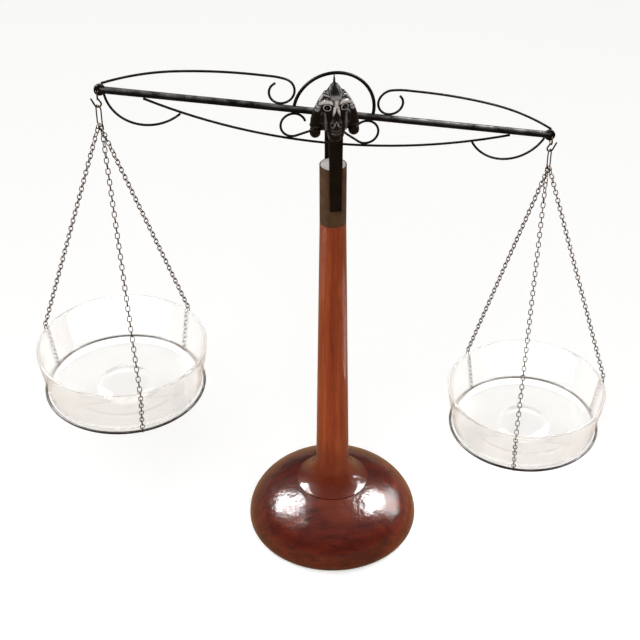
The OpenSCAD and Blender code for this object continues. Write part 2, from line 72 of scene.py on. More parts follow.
def put(tree, kind, feeds=None, **settings):
    """Adds one node to a tree; each feed is a value for a socket, or a socket linked to it."""
    made = tree.nodes.new(kind)
    for name, value in settings.items():
        setattr(made, name, value)
    for key, value in (feeds or {}).items():
        socket = made.inputs[key]
        if isinstance(value, bpy.types.NodeSocket):
            tree.links.new(value, socket)
        else:
            socket.default_value = value
    return made


def blend(tree, part, one, two):
    """Two colours mixed, by how much of the second."""
    return put(tree, "ShaderNodeMix", {0: part, 6: one, 7: two}, data_type="RGBA").outputs[2]


def sums(tree, operation, one, two=0.0):
    return put(tree, "ShaderNodeMath", {0: one, 1: two}, operation=operation).outputs[0]


def new_finish(name):
    finish = bpy.data.materials.new(name)
    finish.use_nodes = True
    finish.node_tree.nodes.clear()
    return finish, finish.node_tree


def seen_directly(tree):
    """1 on camera rays and on any that came through glass; then 1 on rays mirrored outside glass."""
    path = put(tree, "ShaderNodeLightPath")
    passed = sums(tree, "MINIMUM", path.outputs["Transmission Depth"], 1.0)
    first = sums(tree, "MAXIMUM", path.outputs["Is Camera Ray"], passed)
    outside = sums(tree, "SUBTRACT", 1.0, passed)
    return first, sums(tree, "MULTIPLY", path.outputs["Is Glossy Ray"], outside)


room = bpy.data.worlds.new("room")
bpy.context.scene.world = room
room.use_nodes = True
room.node_tree.nodes.clear()
direct, glossy = seen_directly(room.node_tree)
sky = put(room.node_tree, "ShaderNodeTexCoord")
rise = put(room.node_tree, "ShaderNodeSeparateXYZ", {0: sky.outputs["Generated"]})
walls = put(room.node_tree, "ShaderNodeValToRGB", {"Fac": rise.outputs["Z"]})
band = walls.color_ramp.elements
band[0].position, band[0].color = 0.04, (0.40, 0.40, 0.40, 1)
band[1].position, band[1].color = 0.14, (0.05, 0.05, 0.05, 1)
for height, level in ((0.55, 0.05), (0.70, 0.13), (1.0, 0.20)):
    band.new(height).color = (level, level, level, 1)
mixed = put(room.node_tree, "ShaderNodeMix", {0: glossy, 2: 0.55, 3: walls.outputs["Color"]},
            data_type="FLOAT")
plain = put(room.node_tree, "ShaderNodeMix", {0: direct, 2: mixed.outputs[0], 3: 1.0}, data_type="FLOAT")
glow = put(room.node_tree, "ShaderNodeBackground",
           {"Color": (1, 0.99, 0.975, 1), "Strength": plain.outputs[0]})
put(room.node_tree, "ShaderNodeOutputWorld", {"Surface": glow.outputs[0]})

floor_mesh = bpy.data.meshes.new("floor")
reach = 6
floor_mesh.from_pydata([(-reach, -reach, 0), (reach, -reach, 0), (reach, reach, 0), (-reach, reach, 0)],
                       [], [(0, 1, 2, 3)])
floor = bpy.data.objects.new("floor", floor_mesh)
bpy.context.scene.collection.objects.link(floor)
floor_finish, tree = new_finish("floor_finish")
direct, glossy = seen_directly(tree)
matt = put(tree, "ShaderNodeBsdfDiffuse", {"Color": (0.80, 0.80, 0.80, 1)})
lift = put(tree, "ShaderNodeEmission", {"Color": (1, 1, 1, 1), "Strength": 0.42})
none = put(tree, "ShaderNodeEmission", {"Strength": 0.0})
lifted = put(tree, "ShaderNodeMixShader", {0: direct, 1: none.outputs[0], 2: lift.outputs[0]})
total = put(tree, "ShaderNodeAddShader", {0: matt.outputs[0], 1: lifted.outputs[0]})
# Painted reflection: to rays mirrored off polished things, the floor glows a warm tan instead of its own pale
# colour
tan_reflection_glow = put(tree, "ShaderNodeEmission", {"Color": (0.50, 0.30, 0.165, 1), "Strength": 0.85})
shown_as = put(tree, "ShaderNodeMixShader", {0: glossy, 1: total.outputs[0], 2: tan_reflection_glow.outputs[0]})
put(tree, "ShaderNodeOutputMaterial", {"Surface": shown_as.outputs[0]})
floor_mesh.materials.append(floor_finish)


def soft_lamp(name, place, target, width, height, watts, mirrored):
    """A lamp that lights things, or, where it is mirrored, only shows in what is polished."""
    lamp = bpy.data.lights.new(name, "AREA")
    lamp.shape = "RECTANGLE"
    lamp.size = width
    lamp.size_y = height
    lamp.energy = watts
    stand = bpy.data.objects.new(name, lamp)
    bpy.context.scene.collection.objects.link(stand)
    stand.location = place
    stand.visible_diffuse = not mirrored
    stand.visible_glossy = mirrored
    stand.rotation_euler = (Vector(target) - Vector(place)).to_track_quat("-Z", "Y").to_euler()


soft_lamp("lamp_above", (-0.6, -1.6, 2.6), (0, 0, 0.2), 1.6, 1.6, 26, False)
soft_lamp("window_left", (-0.94, 0.58, 1.20), (-0.03, -0.01, 0.04), 0.56, 0.72, 66, True)
soft_lamp("window_right", (1.06, 0.32, 1.20), (0.03, -0.01, 0.04), 0.56, 0.72, 66, True)


# Base: turned from one block of reddish hardwood, with a rolled rim and a low dome, stained and
# lacquered to a high gloss. The column's tenon, a washer and a screw are let in from below.
def arc(cx, cz, r, start, end, steps):
    """Points of an arc of a profile, from start to end in degrees."""
    turns = [math.radians(start + (end - start) * i / steps) for i in range(steps + 1)]
    return [(cx + r * math.cos(turn), cz + r * math.sin(turn)) for turn in turns]


def shown(name, mesh):
    piece = bpy.data.objects.new(name, mesh)
    bpy.context.scene.collection.objects.link(piece)
    return piece


def turned(name, profile, finish, around, centre=(0, 0, 0)):
    """A lathe-turned piece from its closed half section, a list of radius and height."""
    verts, rings, faces = [], [], []
    for r, z in profile:
        if r < 1e-7:
            rings.append([len(verts)] * around)
            verts.append((centre[0], centre[1], centre[2] + z))
        else:
            rings.append(range(len(verts), len(verts) + around))
            for k in range(around):
                turn = 2 * math.pi * k / around
                verts.append((centre[0] + r * math.cos(turn), centre[1] + r * math.sin(turn), centre[2] + z))
    closed = profile[0][0] > 1e-7
    pairs = list(zip(rings, rings[1:] + rings[:1])) if closed else list(zip(rings, rings[1:]))
    for one, two in pairs:
        for k in range(around):
            j = (k + 1) % around
            corners = []
            for v in (one[k], one[j], two[j], two[k]):
                if v not in corners:
                    corners.append(v)
            if len(corners) > 2:
                faces.append(corners)
    mesh = bpy.data.meshes.new(name)
    mesh.from_pydata(verts, [], faces)
    work = bmesh.new()
    work.from_mesh(mesh)
    bmesh.ops.recalc_face_normals(work, faces=work.faces)
    for edge in work.edges:
        edge.smooth = edge.calc_face_angle(0) < math.radians(32)
    for face in work.faces:
        face.smooth = True
    work.to_mesh(mesh)
    work.free()
    mesh.materials.append(finish)
    return shown(name, mesh)


def wood_figure():
    """Shared grain: figure and flecks drawn out along one axis, from Object coordinates."""
    group = bpy.data.node_groups.new("wood_figure", "ShaderNodeTree")
    face = group.interface
    face.new_socket("Stretch", in_out="INPUT", socket_type="NodeSocketVector")
    face.new_socket("Fleck size", in_out="INPUT", socket_type="NodeSocketFloat")
    face.new_socket("Figure", in_out="OUTPUT", socket_type="NodeSocketFloat")
    face.new_socket("Flecks", in_out="OUTPUT", socket_type="NodeSocketFloat")
    face.new_socket("Pores", in_out="OUTPUT", socket_type="NodeSocketFloat")
    into = put(group, "NodeGroupInput")
    where = put(group, "ShaderNodeTexCoord")
    drawn = put(group, "ShaderNodeVectorMath", {0: where.outputs["Object"], 1: into.outputs["Stretch"]},
                operation="MULTIPLY")
    broad = put(group, "ShaderNodeTexNoise", {"Vector": drawn.outputs[0], "Scale": 1.0, "Detail": 6.0,
                                              "Roughness": 0.62, "Distortion": 0.6})
    fine = put(group, "ShaderNodeTexNoise", {"Vector": drawn.outputs[0], "Scale": 7.0, "Detail": 4.0,
                                             "Roughness": 0.7})
    grain = put(group, "ShaderNodeMath", {0: fine.outputs["Fac"], 1: 0.35, 2: broad.outputs["Fac"]},
                operation="MULTIPLY_ADD")
    figure = put(group, "ShaderNodeMapRange", {"Value": grain.outputs[0], "From Min": 0.42, "From Max": 0.92})
    spots = put(group, "ShaderNodeTexNoise", {"Vector": drawn.outputs[0], "Scale": into.outputs["Fleck size"],
                                              "Detail": 2.0, "Distortion": 0.4})
    flecks = put(group, "ShaderNodeMapRange",
                 {"Value": spots.outputs["Fac"], "From Min": 0.64, "From Max": 0.72})
    pores = put(group, "ShaderNodeMapRange", {"Value": fine.outputs["Fac"], "From Min": 0.3, "From Max": 0.7})
    put(group, "NodeGroupOutput", {"Figure": figure.outputs[0], "Flecks": flecks.outputs[0],
                                   "Pores": pores.outputs[0]})
    return group


def ramp(tree, value, stops):
    """A colour ramp through the given stops of position and colour."""
    made = put(tree, "ShaderNodeValToRGB", {"Fac": value})
    for element, (place, colour) in zip(made.color_ramp.elements, stops):
        element.position, element.color = place, (*colour, 1)
    for place, colour in stops[2:]:
        made.color_ramp.elements.new(place).color = (*colour, 1)
    return made.outputs["Color"]


figure_group = wood_figure()
base_finish, tree = new_finish("lacquered_base_wood")
figure = put(tree, "ShaderNodeGroup", {"Stretch": (16, 95, 95), "Fleck size": 1.9}, node_tree=figure_group)
stain = ramp(tree, figure.outputs["Figure"],
             [(0.0, (0.040, 0.0050, 0.0022)), (1.0, (0.165, 0.021, 0.0050)), (0.55, (0.098, 0.0105, 0.0032))])
place = put(tree, "ShaderNodeTexCoord")
parts = put(tree, "ShaderNodeSeparateXYZ", {0: place.outputs["Object"]})
flecked = blend(tree, sums(tree, "MULTIPLY", figure.outputs["Flecks"], 0.8), stain, (0.012, 0.002, 0.0015, 1))
# Painted light: the dome is made lighter in a patch in front of the column's foot. Painted shade: the rolled
# rim goes black underneath
# Painted light: a lighter patch centred just in front of the column's foot, fading outwards
from_lit_patch = put(tree, "ShaderNodeVectorMath", {0: place.outputs["Object"], 1: (0.0, -0.040, 0.046)},
            operation="DISTANCE")
painted_light_patch = put(tree, "ShaderNodeMapRange", {"Value": from_lit_patch.outputs["Value"], "From Min": 0.012,
                                             "From Max": 0.024, "To Min": 0.5, "To Max": 0.0},
                interpolation_type="SMOOTHSTEP")
lit = blend(tree, painted_light_patch.outputs[0], flecked, (0.20, 0.032, 0.008, 1))
# Painted shade: the rim darkens to near black towards its underside
low = put(tree, "ShaderNodeMapRange", {"Value": parts.outputs["Z"], "From Min": 0.0015, "From Max": 0.006,
                                       "To Min": 0.92, "To Max": 0.0})
painted_shade_below = blend(tree, low.outputs[0], lit, (0.004, 0.002, 0.0015, 1))
# Brushed by hand: long soft waves, and a fine crackle that tears the edges of a reflection
waves = put(tree, "ShaderNodeTexNoise", {"Vector": place.outputs["Object"], "Scale": 85.0, "Detail": 2.0})
crackle = put(tree, "ShaderNodeTexNoise", {"Vector": place.outputs["Object"], "Scale": 330.0, "Detail": 4.0,
                                           "Roughness": 0.6, "Distortion": 0.8})
height = put(tree, "ShaderNodeMath", {0: crackle.outputs["Fac"], 1: 0.34, 2: waves.outputs["Fac"]},
             operation="MULTIPLY_ADD")
brushed = put(tree, "ShaderNodeBump", {"Height": height.outputs[0], "Strength": 0.5, "Distance": 0.0012})
lacquer = put(tree, "ShaderNodeBsdfPrincipled", {
    "Base Color": painted_shade_below, "Roughness": 0.34, "Normal": brushed.outputs[0],
    "Specular IOR Level": 0.1, "Coat Weight": 1.0, "Coat Roughness": 0.03, "Coat Normal": brushed.outputs[0]})
put(tree, "ShaderNodeOutputMaterial", {"Surface": lacquer.outputs[0]})

base_r, belly_z, dome_h, foot_r, drawn_in = 0.081, 0.006, 0.048, 0.034, 0.004
screw_hole_r, recess_r, recess_h, socket_r, socket_l = 0.0025, 0.010, 0.006, 0.0091, 0.0165
seat_z = belly_z + dome_h * math.sqrt(1 - (foot_r / base_r) ** 2)
dome_end = math.degrees(math.acos(foot_r / base_r))
dome = [(base_r * r, belly_z + dome_h * z) for r, z in arc(0, 0, 1, 0, dome_end, 96)]
under = [(base_r - drawn_in * (1 - r), belly_z * (1 + z)) for r, z in arc(0, 0, 1, -90, 0, 14)]
recess = [(screw_hole_r, recess_h), (recess_r, recess_h), (recess_r, 0.0)]
socket = [(socket_r, seat_z), (socket_r, seat_z - socket_l), (screw_hole_r, seat_z - socket_l)]
base = turned("base_turned", recess + under + dome[1:] + socket, base_finish, around=192)
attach(base, "stand")
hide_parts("base")


# Washer and screw: plain darkened steel, let into the base's recess, where they draw the
# column's tenon down.
def worn_metal_with_top_sheen():
    """Shared look of handled metal: worn bright in patches, only on faces that look up, which is also a
    painted highlight on top.
    """
    group = bpy.data.node_groups.new("worn_metal_with_top_sheen", "ShaderNodeTree")
    face = group.interface
    face.new_socket("Patch scale", in_out="INPUT", socket_type="NodeSocketFloat")
    face.new_socket("Top sheen and rubbing", in_out="INPUT", socket_type="NodeSocketFloat")
    face.new_socket("Rubbing and top sheen", in_out="OUTPUT", socket_type="NodeSocketFloat")
    face.new_socket("Mottle", in_out="OUTPUT", socket_type="NodeSocketFloat")
    face.new_socket("Grain", in_out="OUTPUT", socket_type="NodeSocketFloat")
    into = put(group, "NodeGroupInput")
    where = put(group, "ShaderNodeTexCoord")
    spot = where.outputs["Object"]
    patch = put(group, "ShaderNodeTexNoise", {"Vector": spot, "Scale": into.outputs["Patch scale"],
                                              "Detail": 5.0, "Roughness": 0.6})
    grain = put(group, "ShaderNodeTexNoise", {"Vector": spot, "Scale": 1900.0, "Detail": 3.0})
    up = put(group, "ShaderNodeSeparateXYZ", {0: where.outputs["Normal"]})
    # Painted highlight: faces that look up are made lighter, broken into patches that also stand for real
    # rubbing
    top = put(group, "ShaderNodeMapRange", {"Value": up.outputs["Z"], "From Min": 0.25, "From Max": 0.95})
    topped = sums(group, "MULTIPLY", top.outputs[0], into.outputs["Top sheen and rubbing"])
    mottle = put(group, "ShaderNodeMapRange",
                 {"Value": patch.outputs["Fac"], "From Min": 0.35, "From Max": 0.68}).outputs[0]
    put(group, "NodeGroupOutput", {"Rubbing and top sheen": sums(group, "MULTIPLY", topped, mottle), "Mottle": mottle,
                                   "Grain": grain.outputs["Fac"]})
    return group


sheen_and_rubbing_group = worn_metal_with_top_sheen()


def metal_finish(name, dark, light, rubbed_and_highlit, metallic, roughness, patch=90.0, top_sheen_and_rubbing=0.6, bump=0.12,
                 gloss=0.5):
    """A metal whose colour wanders between dark and light, and which is worn bright on top, in patches that
    are also a painted highlight.
    """
    finish, tree = new_finish(name)
    sheen_and_rubbing = put(tree, "ShaderNodeGroup", {"Patch scale": patch, "Top sheen and rubbing": top_sheen_and_rubbing}, node_tree=sheen_and_rubbing_group)
    body = blend(tree, sheen_and_rubbing.outputs["Mottle"], (*dark, 1), (*light, 1))
    colour = blend(tree, sheen_and_rubbing.outputs["Rubbing and top sheen"], body, (*rubbed_and_highlit, 1))
    bare = put(tree, "ShaderNodeMapRange",
               {"Value": sheen_and_rubbing.outputs["Rubbing and top sheen"], "To Min": metallic, "To Max": 0.35})
    rough = put(tree, "ShaderNodeMapRange", {"Value": sheen_and_rubbing.outputs["Mottle"], "To Min": roughness + 0.1,
                                             "To Max": roughness - 0.06})
    pitted = put(tree, "ShaderNodeBump",
                 {"Height": sheen_and_rubbing.outputs["Grain"], "Strength": bump, "Distance": 0.0004})
    shader = put(tree, "ShaderNodeBsdfPrincipled", {
        "Base Color": colour, "Metallic": bare.outputs[0], "Roughness": rough.outputs[0],
        "Normal": pitted.outputs[0], "Specular IOR Level": gloss})
    put(tree, "ShaderNodeOutputMaterial", {"Surface": shader.outputs[0]})
    return finish


def dress(finish, *nodes):
    """Gives CAD nodes their finish."""
    for name in nodes:
        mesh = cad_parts[name].data
        mesh.materials.clear()
        mesh.materials.append(finish)


dark_steel = metal_finish("darkened_steel", (0.020, 0.015, 0.012), (0.045, 0.036, 0.030), (0.25, 0.23, 0.21),
                          0.5, 0.36, top_sheen_and_rubbing=0.5, gloss=0.3)
dress(dark_steel, "base_washer", "base_screw")


# Column: turned from straight-grained hardwood with a long taper and a concave foot, polished.
# Its tenon stands in the base, and its slimmer top fills the ferrule.
column_finish, tree = new_finish("polished_column_wood")
figure = put(tree, "ShaderNodeGroup", {"Stretch": (170, 170, 9), "Fleck size": 1.5}, node_tree=figure_group)
stain = ramp(tree, figure.outputs["Figure"],
             [(0.0, (0.15, 0.018, 0.005)), (1.0, (0.43, 0.088, 0.018)), (0.5, (0.30, 0.043, 0.009))])
place = put(tree, "ShaderNodeTexCoord")
parts = put(tree, "ShaderNodeSeparateXYZ", {0: place.outputs["Object"]})
# Darker towards the foot of the column
down = put(tree, "ShaderNodeMapRange", {"Value": parts.outputs["Z"], "From Min": 0.052, "From Max": 0.11,
                                        "To Min": 0.9, "To Max": 0.0})
darker_to_foot = blend(tree, down.outputs[0], stain, (0.10, 0.0125, 0.0038, 1))
flecked = blend(tree, sums(tree, "MULTIPLY", figure.outputs["Flecks"], 0.45), darker_to_foot, (0.10, 0.018, 0.006, 1))
pored = put(tree, "ShaderNodeBump", {"Height": figure.outputs["Pores"], "Strength": 0.06, "Distance": 0.0005})
polish = put(tree, "ShaderNodeBsdfPrincipled", {
    "Base Color": flecked, "Roughness": 0.34, "Normal": pored.outputs[0],
    "Specular IOR Level": 0.1, "Coat Weight": 0.8, "Coat Roughness": 0.05})
put(tree, "ShaderNodeOutputMaterial", {"Surface": polish.outputs[0]})

flare_h, low_r, top_r, foot_edge, foot_ease = 0.030, 0.0155, 0.0115, 0.001, 0.0003
tenon_r, tenon_l, tenon_ease, tenon_in = 0.009, 0.016, 0.0005, 0.0002
fit_gap, ferrule_wall, shaft_steps = 0.00005, 0.0009, 40
flare_z = seat_z + foot_edge
flare_top = flare_z + flare_h
step_r = foot_r - low_r
flare_r = (step_r ** 2 + flare_h ** 2) / (2 * step_r)
flare_end = 180 + math.degrees(math.asin(flare_h / flare_r))
shaft_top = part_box("ferrule")[0].z - fit_gap
plug_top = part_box("top_cap")[0].z - fit_gap
plug_r = top_r - ferrule_wall - fit_gap
tenon_z = seat_z - tenon_l
tenon = [(0, tenon_z), (tenon_r - tenon_in, tenon_z), (tenon_r, tenon_z + tenon_ease), (tenon_r, seat_z)]
foot = [(foot_r - foot_ease, seat_z), (foot_r, seat_z + foot_ease)]
flare = arc(low_r + flare_r, flare_top, flare_r, flare_end, 180, 48)
shaft = []
for step in range(1, shaft_steps + 1):
    t = step / shaft_steps
    shaft.append((low_r + (top_r - low_r) * t, flare_top + (shaft_top - flare_top) * t))
plug = [(plug_r, shaft_top), (plug_r, plug_top), (0, plug_top)]
column = turned("column_turned", tenon + foot + flare + shaft + plug, column_finish, around=96)
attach(column, "stand")
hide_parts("column")


# Ferrule and cap: a thin metal sleeve, browned with age, pressed over the column's slim top, and
# a pale matt disc that closes it.
ferrule_finish = metal_finish("browned_ferrule", (0.060, 0.026, 0.011), (0.120, 0.062, 0.030),
                              (0.22, 0.15, 0.10), 0.25, 0.45, patch=60.0, top_sheen_and_rubbing=0.3, gloss=0.3)
dress(ferrule_finish, "ferrule")
cap_finish, tree = new_finish("pale_cap")
place = put(tree, "ShaderNodeTexCoord")
speck = put(tree, "ShaderNodeTexNoise", {"Vector": place.outputs["Object"], "Scale": 420.0, "Detail": 4.0})
dust = ramp(tree, speck.outputs["Fac"], [(0.3, (0.50, 0.48, 0.46)), (0.7, (0.66, 0.64, 0.62))])
cast = put(tree, "ShaderNodeBump", {"Height": speck.outputs["Fac"], "Strength": 0.1, "Distance": 0.0003})
shader = put(tree, "ShaderNodeBsdfPrincipled", {"Base Color": dust, "Metallic": 0.1, "Roughness": 0.6,
                                                "Normal": cast.outputs[0]})
put(tree, "ShaderNodeOutputMaterial", {"Surface": shader.outputs[0]})
dress(cap_finish, "top_cap")


# Straps and their pins: flat bars of blackened wrought iron, front and back of the column, pinned
# through the ferrule. They carry the pivot between them.
black_iron = metal_finish("blackened_iron", (0.0035, 0.0028, 0.0024), (0.010, 0.0085, 0.0075),
                          (0.30, 0.29, 0.28), 0.05, 0.40, patch=70.0, top_sheen_and_rubbing=0.95, gloss=0.08)
strap_iron = metal_finish("strap_iron", (0.005, 0.0028, 0.0016), (0.016, 0.008, 0.004), (0.10, 0.06, 0.035),
                          0.05, 0.45, patch=80.0, top_sheen_and_rubbing=0.4, gloss=0.08)
wire_iron = metal_finish("wire_iron", (0.0035, 0.0024, 0.0018), (0.009, 0.0065, 0.005), (0.12, 0.105, 0.095),
                         0.05, 0.40, patch=70.0, top_sheen_and_rubbing=0.35, gloss=0.08)
dress(strap_iron, "front_strap", "rear_strap")
dress(black_iron, "strap_rivets", "head_rivet", "pointer_spike")
dress(dark_steel, "pivot_pin", "pivot_nut")


# Ram's head: cast iron, flat behind, pinned to the front strap over the pivot. Rows of balls are
# melted together on a fine grid, cut flat and chased; the high spots are worn to a bright grey, painted
# brighter still on faces turned to the front as a highlight.
def ball_row(work, to_world, points, sides, steps=4):
    """A tapering row of balls through points of side, out, up and radius, in mm."""
    for one, two in zip(points, points[1:] or points):
        for step in range(steps + 1):
            x, out, up, r = [a + (b - a) * step / steps for a, b in zip(one, two)]
            for side in sides:
                bmesh.ops.create_icosphere(work, subdivisions=3 if r > 3 else 2, radius=r,
                                           matrix=to_world @ Matrix.Translation((side * x, -out, up)))


def near(value, middle, spread):
    """1 at the middle, fading on both sides of it."""
    return math.exp(-((value - middle) / spread) ** 2)


def spread_out(values, pairs, rounds):
    """Values of points, each averaged with its neighbours some rounds over."""
    count = np.zeros(len(values))
    np.add.at(count, pairs.ravel(), 1)
    for _ in range(rounds):
        total = np.zeros_like(values)
        np.add.at(total, pairs[:, 0], values[pairs[:, 1]])
        np.add.at(total, pairs[:, 1], values[pairs[:, 0]])
        values = (values + total / count[:, None]) / 2
    return values


head_lo, head_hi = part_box("ram_head")
head_top, mm, melt_grid, back_shave = 0.042, 0.001, 0.00042, 0.00002
head_middle = Vector(((head_lo.x + head_hi.x) / 2, head_hi.y, head_hi.z - head_top))
to_world = Matrix.Translation(head_middle) @ Matrix.Scale(mm, 4)
# Each row: its sides, then points of side, out, up and radius, in mm
both, middle = (-1, 1), (1,)
rows = [
    (middle, [(0, 4.5, 39.2, 1.7), (0, 5.6, 36.5, 4.0), (0, 6.4, 32.5, 6.3), (0, 7, 28, 8.8)]),  # crest
    (both, [(2, 5, 26, 8.4), (3.6, 4.6, 22, 8.4), (3.4, 5, 15, 8.0)]),  # skull
    (both, [(1.2, 13.2, 25.8, 2.2), (4.4, 13.7, 27.8, 2.1), (8.4, 12.2, 27.6, 2.1),
            (12, 8.4, 24.4, 1.8)]),  # brow
    (both, [(2.6, 12.6, 30.0, 1.0), (6.0, 11.8, 32.2, 1.0), (9.4, 8.8, 32.0, 0.9)]),  # hair
    (middle, [(0, 12.4, 31, 1.9), (0, 13.8, 28, 2.6), (0, 14.3, 24, 2.3)]),  # bridge
    (both, [(0.9, 14.6, 23, 1.8), (1.8, 15.2, 19.5, 1.4), (2.8, 15.4, 16.0, 0.9)]),  # prongs
    (both, [(7.2, 12.3, 22.4, 1.7)]),  # eye
    (both, [(8.8, 8.0, 15, 4.6), (8.4, 8.8, 9, 4.8), (6.8, 9.0, 4, 4.4)]),  # cheek
    (middle, [(0, 8.6, 18, 6.8), (0, 9.4, 9, 6.8), (0, 9.4, 1, 6.9), (0, 8.8, -4.3, 6.3)]),  # muzzle
    (both, [(0.2, 15.3, 10.4, 1.2), (1.4, 15.2, 7.4, 1.3), (2.9, 14.3, 4.8, 1.2)]),  # nose
    (both, [(5.6, 11.2, 1.5, 2.2), (4.6, 11.6, -4.0, 2.2)]),  # lip
    (both, [(6.5, 4.6, 31, 2.8), (10.0, 5.2, 24.5, 3.5), (13.0, 5.4, 17, 4.2), (15.0, 5.2, 9, 4.6),
            (15.7, 5.4, 3, 4.4), (15.8, 5.9, -2.6, 4.5)]),  # horn
    (both, [(11.2, 4.2, 17, 3.0), (11.5, 4.0, 6, 3.6), (10.0, 4.4, 1, 3.0)]),  # fleece
]
work = bmesh.new()
for sides, points in rows:
    ball_row(work, to_world, points, sides)
eye_x, eye_up, lid_r, lid_wire, lid_steps = 7.2, 22.4, 2.8, 0.66, 22
for side in both:
    for step in range(lid_steps):
        turn = 2 * math.pi * step / lid_steps
        place = (side * (eye_x + lid_r * math.cos(turn)), -13.1 + 0.3 * math.cos(turn) * lid_r,
                 eye_up + 0.85 * lid_r * math.sin(turn))
        bmesh.ops.create_icosphere(work, subdivisions=2, radius=lid_wire,
                                   matrix=to_world @ Matrix.Translation(place))
rough_head = bpy.data.meshes.new("rough_head")
work.to_mesh(rough_head)
work.free()
holder = shown("rough_head", rough_head)
melt = holder.modifiers.new("melt", "REMESH")
melt.mode, melt.voxel_size = "VOXEL", melt_grid
soften = holder.modifiers.new("soften", "SMOOTH")
soften.factor, soften.iterations = 0.5, 3
mesh = bpy.data.meshes.new_from_object(holder.evaluated_get(bpy.context.evaluated_depsgraph_get()))
holder.modifiers.clear()
bpy.data.objects.remove(holder)

# Cut flat behind, then chased: mouth, nostrils, eyes, cheeks, the horns' bands, hair on the crest
work = bmesh.new()
work.from_mesh(mesh)
bmesh.ops.bisect_plane(work, geom=work.verts[:] + work.edges[:] + work.faces[:],
                       plane_co=(0, head_middle.y - back_shave, 0), plane_no=(0, 1, 0), clear_outer=True)
bmesh.ops.holes_fill(work, edges=[edge for edge in work.edges if edge.is_boundary])
work.normal_update()
to_head = to_world.inverted()
for vert in work.verts:
    x, out, up = to_head @ vert.co
    x, out = abs(x), -out
    if out < 0.5:
        continue
    cut = 0.5 * near(up, 0.6 + 0.12 * x, 0.5) * near(x, 0, 4.5) * (out > 9)
    cut += 1.1 * near(x, 3.3, 0.8) * near(up, 7.6, 1.2) * (out > 9)
    cut += 0.9 * near(math.hypot(x - eye_x, up - eye_up), 1.9, 0.45) * (out > 8)
    cut += 0.9 * near(x, 5.2, 1.5) * near(up, 14.5, 3.2) * (out > 7)
    cut += 0.5 * near(x, 10.4, 1.2) * near(up, 14, 8) * (out > 5)
    on_horn = x > 11.6 and up < 24
    cut += on_horn * (0.09 * (1 - math.cos(2 * math.pi * up / 3.1)) * (up > 7)
                      + 0.8 * near(up, 2.0, 0.8) - 0.4 * near(up, 4.2, 0.8))
    cut += 0.10 * (1 + math.sin(5.0 * x + 1.4 * up)) * (up > 33)
    vert.co += vert.normal * (-mm * cut)
    vert.co.y = min(vert.co.y, head_middle.y)
work.normal_update()
bmesh.ops.recalc_face_normals(work, faces=work.faces)
for face in work.faces:
    face.smooth = len(face.verts) < 8
work.to_mesh(mesh)
work.free()

# Worn bright, and painted as a highlight: what stands above its surroundings, most of all on the brows and
# bridge, and more on faces turned to the front
count = len(mesh.vertices)
spots, normals = np.empty(3 * count), np.empty(3 * count)
mesh.vertices.foreach_get("co", spots)
mesh.vertices.foreach_get("normal", normals)
pairs = np.empty(2 * len(mesh.edges), dtype=np.int64)
mesh.edges.foreach_get("vertices", pairs)
spots, normals, pairs = spots.reshape(-1, 3), normals.reshape(-1, 3), pairs.reshape(-1, 2)
proud = 1000 * np.einsum("ij,ij->i", spots - spread_out(spots, pairs, 26), normals)
side_mm = np.abs(spots[:, 0] - head_middle.x) * 1000
up_mm = (spots[:, 2] - head_middle.z) * 1000
# Painted highlight: faces turned to the front are made brighter
facing = np.clip(-normals[:, 1] * 1.1 + 0.1, 0, 1)
from_eye = np.hypot(side_mm - eye_x, up_mm - eye_up)
on_brow = np.exp(-((up_mm - 25.5) / 7) ** 4) * (from_eye > 2.3)
on_cheek = np.exp(-((up_mm - 6) / 11) ** 4) * np.exp(-((side_mm - 5) / 6) ** 4)
rubbed_and_highlit = np.clip(proud * 3.2 + 0.05, 0, 1) * (1.0 * on_brow + 0.30 * on_cheek * (1 - on_brow) + 0.12)
rubbed_and_highlit = np.clip(rubbed_and_highlit + 0.30 * on_brow * np.clip(proud * 2 + 0.6, 0, 1), 0, 1) * facing
layer = mesh.attributes.new("rubbed_and_highlit", "FLOAT", "POINT")
rubbed_and_highlit = np.clip(1.3 * spread_out(rubbed_and_highlit[:, None], pairs, 2).ravel() - 0.10, 0, 1)
layer.data.foreach_set("value", rubbed_and_highlit)

head_finish, tree = new_finish("cast_iron_head")
bright = put(tree, "ShaderNodeAttribute", attribute_name="rubbed_and_highlit")
place = put(tree, "ShaderNodeTexCoord")
patchy = put(tree, "ShaderNodeTexNoise", {"Vector": place.outputs["Object"], "Scale": 420.0, "Detail": 4.0,
                                          "Roughness": 0.65})
broken = put(tree, "ShaderNodeMapRange", {"Value": patchy.outputs["Fac"], "From Min": 0.3, "From Max": 0.6,
                                          "To Min": 0.45, "To Max": 1.1})
rub_and_highlight = put(tree, "ShaderNodeMath", {0: bright.outputs["Fac"], 1: broken.outputs[0]},
          operation="MULTIPLY", use_clamp=True)
dull = blend(tree, patchy.outputs["Fac"], (0.0035, 0.0022, 0.0014, 1), (0.012, 0.0075, 0.005, 1))
colour = blend(tree, rub_and_highlight.outputs[0], dull, (0.74, 0.72, 0.69, 1))
bare = put(tree, "ShaderNodeMapRange", {"Value": rub_and_highlight.outputs[0], "To Min": 0.1, "To Max": 0.35})
grained = put(tree, "ShaderNodeBump", {"Height": patchy.outputs["Fac"], "Strength": 0.25, "Distance": 0.0005})
shader = put(tree, "ShaderNodeBsdfPrincipled", {
    "Base Color": colour, "Metallic": bare.outputs[0], "Roughness": 0.40,
    "Normal": grained.outputs[0], "Specular IOR Level": 0.12})
put(tree, "ShaderNodeOutputMaterial", {"Surface": shader.outputs[0]})
mesh.materials.clear()
mesh.materials.append(head_finish)
head = shown("ram_head_cast", mesh)
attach(head, "stand")
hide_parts("ram_head")


